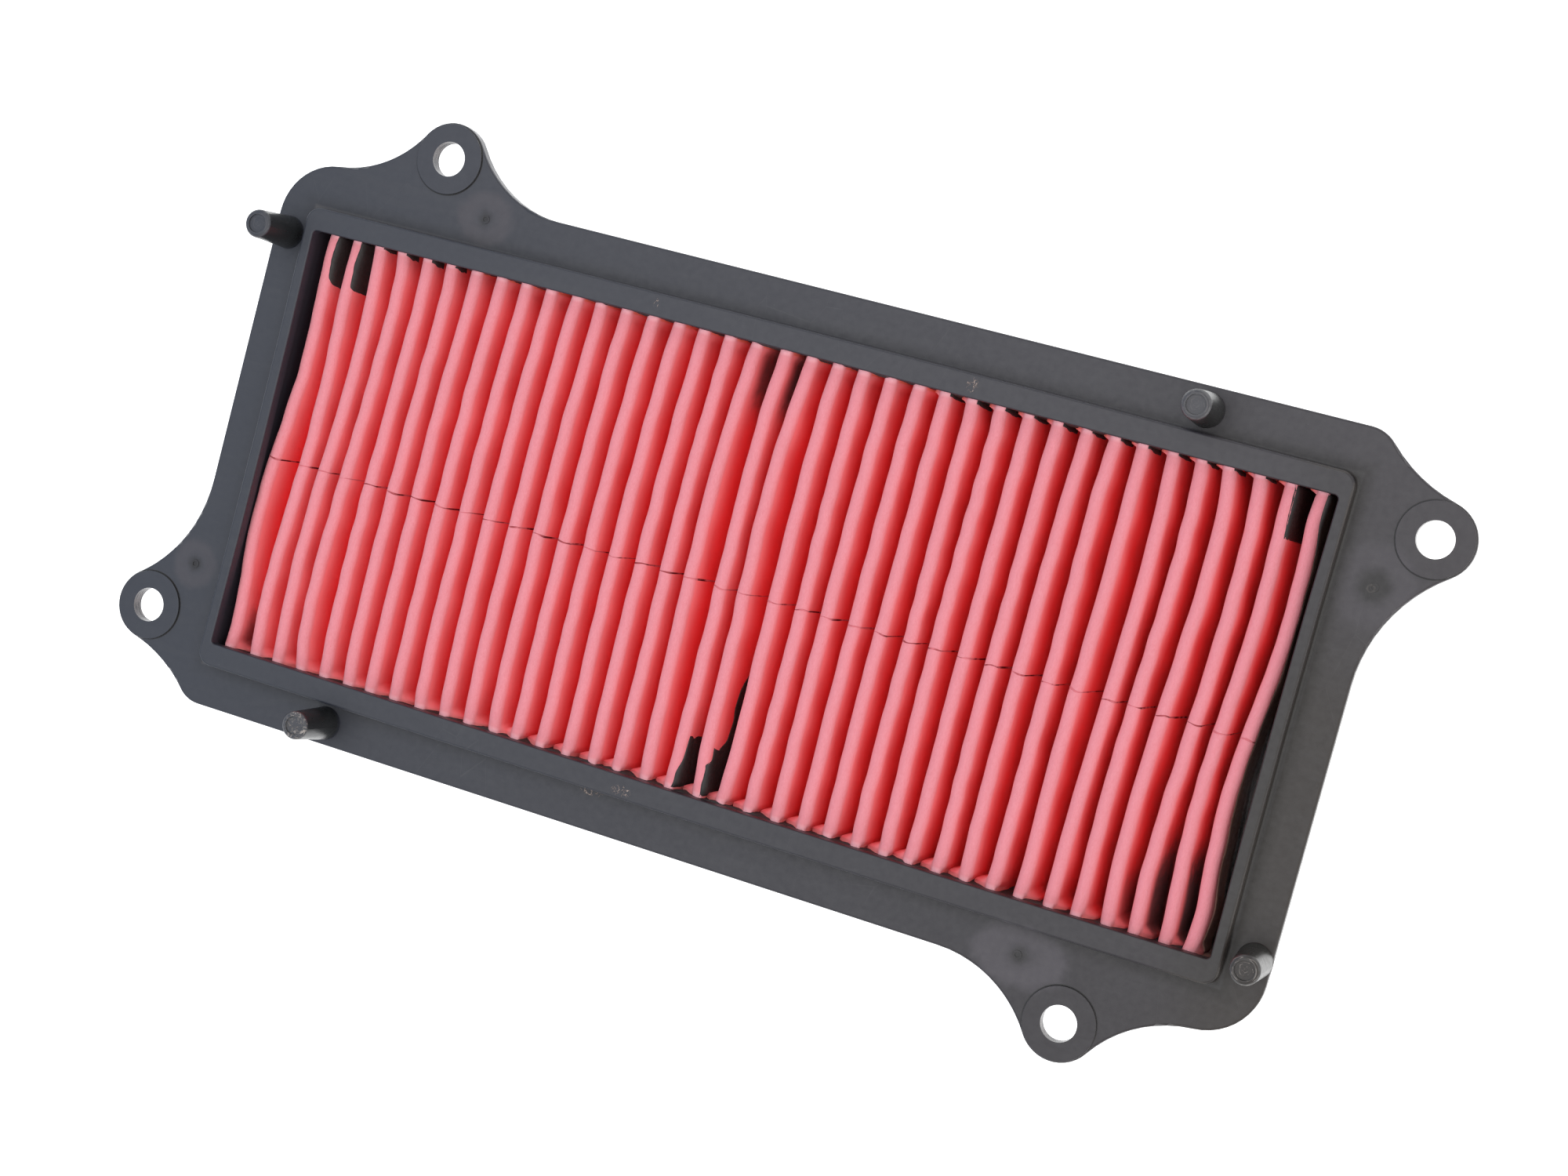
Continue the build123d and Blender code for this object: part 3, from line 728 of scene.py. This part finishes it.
# ---------------------------------------------------------------- other materials
def compound():
    g = Graph("potting_compound")
    mottle = g.noise(scale=0.6)
    base = g.mix(mottle, first=(0.0286, 0.0270, 0.0275), second=(0.0480, 0.0450, 0.0460))
    # redder at the left end wall
    redder = g.mix(mottle, first=(0.0250, 0.0145, 0.0160), second=(0.0420, 0.0245, 0.0270))
    base = g.paint(base, g.ramp(g.x, over=(-98.5, -97.5), to=(1.0, 0.0)), colour=redder)
    # thin and brownish on the outer flank of the last fold, and painted lighter there to lift its
    # shade, most towards the front and least near the top
    heights = g.mul(g.ramp(g.z, over=(12.0, 16.0)),
                    g.ramp(g.z, over=(22.3, 24.0), to=(1.0, 0.08)))
    thin = g.mul(g.ramp(g.x, over=(95.8, 96.8)), heights)
    brown_and_painted_light = g.mix(g.ramp(g.y, over=(-34.0, -10.0)),
                  first=(0.30, 0.145, 0.120), second=(0.145, 0.074, 0.060))
    patchy = g.ramp(g.noise(scale=0.4), over=(0.25, 0.7), to=(0.75, 1.0))
    base = g.paint(base, g.mul(thin, patchy), colour=brown_and_painted_light)
    height = g.mul(g.noise(scale=1.1, detail=3, rough=0.55), 0.12)  # relief in mm
    rough = g.ramp(g.noise(scale=1.6, detail=2), over=(0.3, 0.7), to=(0.5, 0.72), smoothed=False)
    return g.principled(Base_Color=base, Roughness=rough, Normal=g.bump(height, strength=0.7),
                        Specular_IOR_Level=0.2)


def thread_dark():
    g = Graph("separator_thread")
    wear_and_highlight = g.ramp(g.noise(scale=0.22, detail=4, rough=0.65), over=(0.42, 0.56))
    # painted shade: the thread is painted darker further below the crest
    deep = g.ramp(g.sub(Z_TOP, g.z), over=(0.1, 1.3))
    thread_tone = g.mix(deep, first=(0.33, 0.060, 0.070), second=(0.10, 0.014, 0.016))
    base = g.paint(thread_tone, wear_and_highlight, colour=(0.62, 0.17, 0.20), strength=0.93)
    height = g.mul(g.noise(scale=6.0, detail=2), 0.05)  # relief in mm
    return g.principled(Base_Color=base, Roughness=0.8, Normal=g.bump(height, strength=0.8),
                        Specular_IOR_Level=0.15)


def seal_foam():
    g = Graph("seal_foam")
    base = g.mix(g.noise(scale=1.2), first=(0.010, 0.010, 0.011), second=(0.020, 0.020, 0.021))
    pores = g.cells(scale=3.2)
    # painted shade: the recessed pores are painted darker
    base = g.paint(base, g.fall(pores, over=(0.1, 0.45)), colour=(0.004, 0.004, 0.004),
                   strength=0.6)
    height = g.add(g.mul(pores, 0.10), g.mul(g.noise(scale=0.5, detail=2), 0.12))  # in mm
    return g.principled(Base_Color=base, Roughness=0.85, Normal=g.bump(height, strength=0.8),
                        Specular_IOR_Level=0.35)


def pale_floor():
    """A softly glowing floor, clear from below so that the underside can be seen."""
    g = Graph("pale_floor")
    glow = g.node("Emission")
    glow.inputs["Color"].default_value = (1.0, 1.0, 1.0, 1.0)
    glow.inputs["Strength"].default_value = 0.85
    matt = g.node("BsdfDiffuse")
    colour = g.mix(g.noise(scale=0.02, detail=2),
                   first=(0.78, 0.785, 0.79), second=(0.80, 0.80, 0.80))
    g.put(matt.inputs["Color"], colour)
    surface = g.node("AddShader")
    g.put(surface.inputs[0], glow.outputs[0])
    g.put(surface.inputs[1], matt.outputs[0])
    by_side = g.node("MixShader")
    g.put(by_side.inputs[0], g.node("NewGeometry").outputs["Backfacing"])
    g.put(by_side.inputs[1], surface.outputs[0])
    g.put(by_side.inputs[2], g.node("BsdfTransparent").outputs[0])
    g.put(g.out.inputs[0], by_side.outputs[0])
    return g.material


# the frame keeps its CAD shape and gets its finish
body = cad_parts["frame_body"]
body.data.materials.clear()
body.data.materials.append(frame_plastic())

# keyed by material slot
MATERIALS = {
    "media_red": media_felt(),
    "compound_black": compound(),
    "thread_dark": thread_dark(),
    "seal_rubber": seal_foam(),
}


# ---------------------------------------------------------------- pleated sheet
def pleated_sheet():
    middle_y, row_step = 37.5, 0.9
    middle = np.linspace(-middle_y, middle_y, int(2 * middle_y / row_step) + 1)
    # closer rows near the long walls
    end = np.concatenate([np.arange(37.9, 41.3, 0.2), np.array([41.6, 42.1, HALF_Y])])
    y = np.concatenate([-end[::-1], middle, end])
    verts, faces = closed_sheet(media_grid(y, HALF_SHEET), media_grid(y, -HALF_SHEET))
    clip_x(verts, -WALL_X + 0.12, WALL_X - 0.34)
    piece("filter_media_pleats", "filter_media", "media_red", verts, faces)


pleated_sheet()


# ---------------------------------------------------------------- separator threads
def thread(node, upper, seed):
    """A thread laid over the folds, on the upper or the lower face of the sheet."""
    wiggle, width = waves(seed, 6, 3.0, 16.0), waves(seed + 1, 6, 4.0, 24.0)
    y = THREAD_Y + np.array([-0.2, 0.0, 0.2])
    face = 1 if upper else -1
    outer = media_grid(y, face * 0.525)
    inner = media_grid(y, face * 0.42)
    run = np.arange(outer.shape[1]) * 0.55
    half_width = np.clip(0.105 + 0.045 * width(run), 0.035, 0.19)
    middle = 0.12 * wiggle(outer[1, :, 0])
    for grid in (outer, inner):
        for row, across in enumerate((-1, 0, 1)):
            grid[row, :, 1] = THREAD_Y + middle + across * half_width
    # round the back of the thread
    outer[1] += (outer[1] - inner[1]) * 0.35
    verts, faces = shell(upper, outer, inner)
    clip_x(verts, -WALL_X + 0.06, WALL_X - 0.06)
    piece(node + "_line", node, "thread_dark", verts, faces)


thread("separator_thread_top", upper=True, seed=41)
thread("separator_thread_bottom", upper=False, seed=51)


# ---------------------------------------------------------------- compound run out over the folds
def flank_points(k, y, run, offset):
    """Points on the right flank of fold k at distance run along the profile from the crest."""
    profiles = half_fold(k, +1, y.ravel(), offset, arc=26, flank=70, valley=8)
    steps = np.linalg.norm(np.diff(profiles[:, :, [0, 2]], axis=1), axis=2)
    runs = np.concatenate([np.zeros((len(steps), 1)), np.cumsum(steps, 1)], 1)
    points = np.zeros((y.size, 3))
    for i, distance in enumerate(run.ravel()):
        for axis in range(3):
            points[i, axis] = np.interp(distance, runs[i], profiles[i, :, axis])
    return points.reshape(*y.shape, 3)


def skin(k, front, rear, crest, foot, rows=34, cols=16, thick=0.20):
    """A film on the right flank of fold k. The y limits front and rear may be functions of
    down (0 at the crest side, 1 at the foot); the limits crest and foot, measured along the
    profile from the crest, may be functions of along (0 at the front, 1 at the rear)."""
    def limit(value, t):
        return value(t) if callable(value) else value

    along, down = np.meshgrid(np.linspace(0, 1, rows), np.linspace(0, 1, cols) ** 1.15,
                              indexing="ij")
    y = limit(front, down) + along * (limit(rear, down) - limit(front, down))
    run = limit(crest, along) + down * (limit(foot, along) - limit(crest, along))
    outer = flank_points(k, y, run, HALF_SHEET)
    inner = flank_points(k, y, run, HALF_SHEET - 0.07)
    normal = outer - inner
    normal /= np.maximum(np.linalg.norm(normal, axis=2, keepdims=True), 1e-6)
    # thin at the borders
    i = np.minimum(np.arange(rows), np.arange(rows)[::-1])[:, None] / 2.0
    j = np.minimum(np.arange(cols), np.arange(cols)[::-1])[None, :] / 1.5
    fullness = np.sqrt(np.clip(np.minimum(i, j), 0, 1))
    outer = outer + normal * (thick * (0.12 + 0.88 * fullness))[:, :, None]
    return closed_sheet(outer, inner)


def ragged(seed, amount, shortest=0.15, longest=0.8):
    wave = waves(seed, 4, shortest, longest)
    return lambda t: amount * wave(t)


def large_skins():
    front, rear = -41.1, 41.1
    rag_a, rag_b = ragged(61, 0.06), ragged(63, 0.06)
    rag_square, rag_plain = ragged(65, 0.05), ragged(67, 0.06)
    rag_torn, rag_streak = ragged(69, 0.10, 0.1, 0.5), ragged(71, 0.10)
    edge = waves(73, 5, 0.04, 0.3)
    return [
        # beside the first two crests, rounded at the front inner corner
        skin(0, lambda down: (31.6 - 1.4 * np.clip(down - 0.15, 0, 1)
                              + 0.8 * np.exp(-down / 0.05) + rag_a(down)), rear,
             lambda along: (0.95 - 0.25 * np.sin(3.0 * along)
                            + 0.5 * np.exp(-along / 0.04) + 0.5 * rag_b(along)), 11.5),
        skin(1, lambda down: 31.7 - 0.7 * down + 0.35 * np.exp(-down / 0.05) + rag_b(down), rear,
             lambda along: (0.95 - 0.2 * np.sin(3.0 * along)
                            + 0.15 * np.exp(-along / 0.03) + 0.5 * rag_a(along)), 11.5),
        # beside the last crest but one, square at the front
        skin(36, lambda down: 31.6 - 0.2 * down + rag_square(down) * 0.4, rear,
             lambda along: 0.95 - 0.35 * along + 0.5 * rag_square(along), 21.0),
        # two at the front wall, the second ragged and running on as a thin streak
        skin(18, front, lambda down: -31.3 - 0.3 * down + rag_plain(down),
             lambda along: 0.35 + 1.6 * along + rag_plain(along), 10.0),
        skin(19, front, lambda down: (-32.1 - 0.5 * np.sin(down * 7.0) * np.exp(-down)
                                      + 0.4 * rag_torn(down)),
             lambda along: (0.45 + 0.55 * along + 1.3 * smooth(0.62, 0.76, along)
                            - 0.3 * smooth(0.86, 1.0, along) + 0.5 * rag_torn(along)),
             15.0, rows=48),
        skin(19, -33.0, lambda down: -13.5 - 3.0 * (1 - down),
             lambda along: (7.3 - 2.2 * np.exp(-((along - 0.03) / 0.07) ** 2)
                            - 0.55 * np.sin(along * 11.0 + 0.6) + 3.4 * along ** 3
                            + rag_streak(along) * 0.9), 17.0, rows=80),
        # the outer flank of the last fold is bedded in compound
        skin(37, front, rear,
             lambda along: (3.9 - 1.5 * smooth(0.20, 0.42, along)
                            - 1.5 * smooth(0.80, 0.985, along) + 0.02 * edge(along)),
             21.5, rows=180, thick=0.34),
    ]


def rear_wedge(k):
    """A small wedge beside a crest end at the rear wall."""
    size = {2: 0.6, 3: 0.95, 4: 1.0, 5: 0.7}.get(k, 0.80 + 0.15 * float(np.sin(k * 2.3)))
    rag = ragged(900 + k, 0.04)
    taper = 0.45 if k > 20 else 0.0
    return skin(k, lambda down: 41.0 - size * (0.35 + 0.55 * smooth(0, 0.5, down)) + rag(down),
                lambda down: 41.35 - taper * smooth(0.35, 1.0, down),
                1.0, 5.5 if k < 10 else 10.0, rows=10, cols=18, thick=0.30)


def compound_overflow():
    wedges = [rear_wedge(k) for k in (*range(2, 6), *range(24, 36))]
    verts, faces = join(large_skins() + wedges)
    clip_x(verts, -WALL_X + 0.02, WALL_X - 0.02)
    piece("compound_overflow_skins", "compound_overflow", "compound_black", verts, faces)


compound_overflow()


# ---------------------------------------------------------------- potting and side seals
def potting(node, side, seed):
    """The bead along the front (side -1) or rear (+1) long wall."""
    low, high = box_mm(node)
    x, z = np.meshgrid(np.linspace(low[0], high[0], 420), np.linspace(low[2], high[2], 26),
                       indexing="ij")
    bulges, ripples = waves(seed, 6, 3.0, 14.0), waves(seed + 1, 6, 2.0, 9.0)
    inner = (41.3 + 0.16 * bulges(x + 0.4 * z) * smooth(0, 3, z - low[2])
             + 0.10 * ripples(z + 0.3 * x))
    inner = np.clip(inner, 41.02, 41.7)
    # drawn back to the wall at its lower and upper edge
    meniscus = 0.9 * np.exp(-(z - low[2]) / 0.9) + 0.25 * np.exp(-(high[2] - z) / 0.5)
    inner = np.minimum(inner + meniscus, 43.0)
    face = np.stack([x, side * inner, z], -1)
    back = np.stack([x, np.full_like(x, side * POTTING_BACK), z], -1)
    verts, faces = shell(side < 0, face, back)
    piece(node + "_bead", node, "compound_black", verts, faces)


potting("potting_front", side=-1, seed=81)
potting("potting_rear", side=+1, seed=83)


def side_seal(node, side, seed):
    """The bulging bead along the left (side -1) or right (+1) end wall."""
    low, high = box_mm(node)
    bottom, top = low[2], high[2]
    y, z = np.meshgrid(np.linspace(low[1], high[1], 160),
                       bottom + (top - bottom) * np.linspace(0, 1, 18), indexing="ij")
    bulge = np.sin(np.pi * np.clip((z - bottom) / (top - bottom), 0, 1)) ** 0.55
    inner = SEAL_X - (1.22 + 0.10 * waves(seed, 6, 3.0, 16.0)(y + 0.5 * z)) * bulge
    inner = np.clip(inner, 98.62, 99.93)
    z = z + 0.35 * waves(seed + 1, 5, 4.0, 18.0)(y) * smooth(bottom, top, z)
    face = np.stack([side * inner, y, z], -1)
    back = np.stack([np.full_like(y, side * SEAL_X), y, z], -1)
    verts, faces = shell(side > 0, face, back)
    piece(node + "_bead", node, "compound_black", verts, faces)


side_seal("side_seal_left", side=-1, seed=91)
side_seal("side_seal_right", side=+1, seed=93)


# ---------------------------------------------------------------- flange seal
def ring_path(half_x, half_y, radius):
    """Rounded rectangle, counter-clockwise from the right end of its rear right corner."""
    # corner side in x and y, start angle, points on the straight run that follows
    corners = ((1, 1, 0, 120), (-1, 1, 90, 60), (-1, -1, 180, 120), (1, -1, 270, 60))
    centres = [np.array([side_x * (half_x - radius), side_y * (half_y - radius)])
               for side_x, side_y, _, _ in corners]
    path = []
    for i, (_, _, start, run_points) in enumerate(corners):
        angles = np.radians(np.linspace(start, start + 90, 9))
        arc = centres[i] + radius * np.stack([np.cos(angles), np.sin(angles)], -1)
        run_end = arc[-1] + centres[(i + 1) % 4] - centres[i]
        path += [arc, np.linspace(arc[-1], run_end, run_points + 2)[1:-1]]
    return np.concatenate(path)


def ring_profile(half_width, half_height):
    """Section as (across, up): large radii at the bottom corners, small ones at the top."""
    section = []
    for side, level, start in ((1, -1, -90), (1, 1, 0), (-1, 1, 90), (-1, -1, 180)):
        radius = 0.55 if level < 0 else 0.55 * 0.4
        for turn in np.linspace(0, 90, 5):
            angle = math.radians(start + turn)
            section.append((side * (half_width - radius) + radius * math.cos(angle),
                            level * (half_height - radius) + radius * math.sin(angle)))
    return np.array(section)


def flange_seal():
    """A foam ring with a butt joint."""
    low, high = box_mm("flange_gasket")
    half_width = 4.2 / 2
    height = high[2] - low[2]
    path = ring_path(high[0] - half_width, high[1] - half_width, radius=3.4)
    section = ring_profile(half_width, height / 2)
    tangent = np.roll(path, -1, 0) - np.roll(path, 1, 0)
    tangent /= np.linalg.norm(tangent, axis=1)[:, None]
    normal = np.stack([tangent[:, 1], -tangent[:, 0]], -1)
    run = np.concatenate([[0], np.cumsum(np.linalg.norm(np.diff(path, axis=0), axis=1))])

    width_wave, height_wave = waves(141, 6, 6.0, 30.0), waves(142, 6, 8.0, 40.0)
    joint = np.exp(-((run - run[200]) / 0.9) ** 2)
    width_scale = 1.0 - 0.022 * (0.5 + 0.5 * np.tanh(width_wave(run))) - 0.06 * joint
    height_scale = 1.0 - 0.03 * (0.5 + 0.5 * np.tanh(height_wave(run))) - 0.16 * joint
    across = section[None, :, 0] * width_scale[:, None]
    verts = np.zeros((len(path), len(section), 3))
    verts[:, :, :2] = path[:, None, :] + normal[:, None, :] * across[:, :, None]
    verts[:, :, 2] = high[2] - (height / 2 - section[None, :, 1]) * height_scale[:, None]

    rows, cols = len(path), len(section)
    i, j = np.meshgrid(np.arange(rows), np.arange(cols), indexing="ij")
    here, ahead = i * cols, (i + 1) % rows * cols
    beside = (j + 1) % cols
    faces = np.stack([here + j, here + beside, ahead + beside, ahead + j], -1).reshape(-1, 4)
    piece("flange_seal_ring", "flange_gasket", "seal_rubber", verts.reshape(-1, 3), faces)


flange_seal()

# ---------------------------------------------------------------- floor
FLOOR_HALF, FLOOR_Z = 6000, -0.2
floor_corners = [(x * FLOOR_HALF, y * FLOOR_HALF, FLOOR_Z)
                 for x, y in ((-1, -1), (1, -1), (1, 1), (-1, 1))]
floor = mesh_object("floor", floor_corners, [(0, 1, 2, 3)], pale_floor(), smooth_shade=False)


# ---------------------------------------------------------------- world, lights, camera
def studio_world():
    """Cool light from the left, warm from the right; the camera sees plain white."""
    world = bpy.data.worlds.new("studio")
    bpy.context.scene.world = world
    world.use_nodes = True
    nodes, link = world.node_tree.nodes, world.node_tree.links.new
    nodes.clear()
    out = nodes.new("ShaderNodeOutputWorld")
    light = nodes.new("ShaderNodeBackground")
    coords = nodes.new("ShaderNodeTexCoord")
    split = nodes.new("ShaderNodeSeparateXYZ")
    link(coords.outputs["Generated"], split.inputs[0])
    across = nodes.new("ShaderNodeMapRange")
    across.inputs["From Min"].default_value = -0.55
    across.inputs["From Max"].default_value = 0.05
    link(split.outputs[0], across.inputs[0])
    colour = nodes.new("ShaderNodeMix")
    colour.data_type = "RGBA"
    colour.inputs[6].default_value = (0.88, 0.97, 1.12, 1)
    colour.inputs[7].default_value = (1.02, 0.985, 0.93, 1)
    link(across.outputs[0], colour.inputs[0])
    link(colour.outputs[2], light.inputs["Color"])
    light.inputs["Strength"].default_value = 0.72
    backdrop = nodes.new("ShaderNodeBackground")
    backdrop.inputs["Color"].default_value = (1.0, 1.0, 1.0, 1.0)
    backdrop.inputs["Strength"].default_value = 1.0
    path = nodes.new("ShaderNodeLightPath")
    which = nodes.new("ShaderNodeMixShader")
    link(path.outputs["Is Camera Ray"], which.inputs[0])
    link(light.outputs[0], which.inputs[1])
    link(backdrop.outputs[0], which.inputs[2])
    link(which.outputs[0], out.inputs[0])


def softbox(name, place, size, power):
    """A rectangular light aimed just above the floor at the middle; lengths in metres."""
    aim = Vector((0, 0, 0.02))
    light = bpy.data.lights.new(name, "AREA")
    light.shape = "RECTANGLE"
    light.size, light.size_y = size
    light.energy = power
    ob = bpy.data.objects.new(name, light)
    bpy.context.scene.collection.objects.link(ob)
    ob.location = place
    ob.rotation_mode = "QUATERNION"
    ob.rotation_quaternion = (aim - Vector(place)).to_track_quat("-Z", "Y")


def add_camera():
    data = bpy.data.cameras.new("camera")
    camera = bpy.data.objects.new("camera", data)
    bpy.context.scene.collection.objects.link(camera)
    data.sensor_width = 36.0
    data.lens = 60.34008
    data.clip_start, data.clip_end = 0.01, 20.0
    right = (0.917767, 0.25505, -0.304391)
    up = (-0.264712, 0.964277, 0.009841)
    back = (0.296027, 0.071544, 0.952496)
    place = Vector((149.395, 33.856, 477.958)) * MM
    camera.matrix_world = Matrix((*zip(right, up, back, place), (0, 0, 0, 1)))
    bpy.context.scene.camera = camera


studio_world()
softbox("overhead", place=(-0.05, 0.0, 1.1), size=(1.5, 1.3), power=9.0)
softbox("side_right", place=(1.0, -0.15, 0.55), size=(0.9, 0.9), power=3.0)
add_camera()
bpy.context.scene.view_settings.view_transform = "Standard"
bpy.context.scene.view_settings.look = "None"
bpy.context.scene.cycles.diffuse_bounces = 6
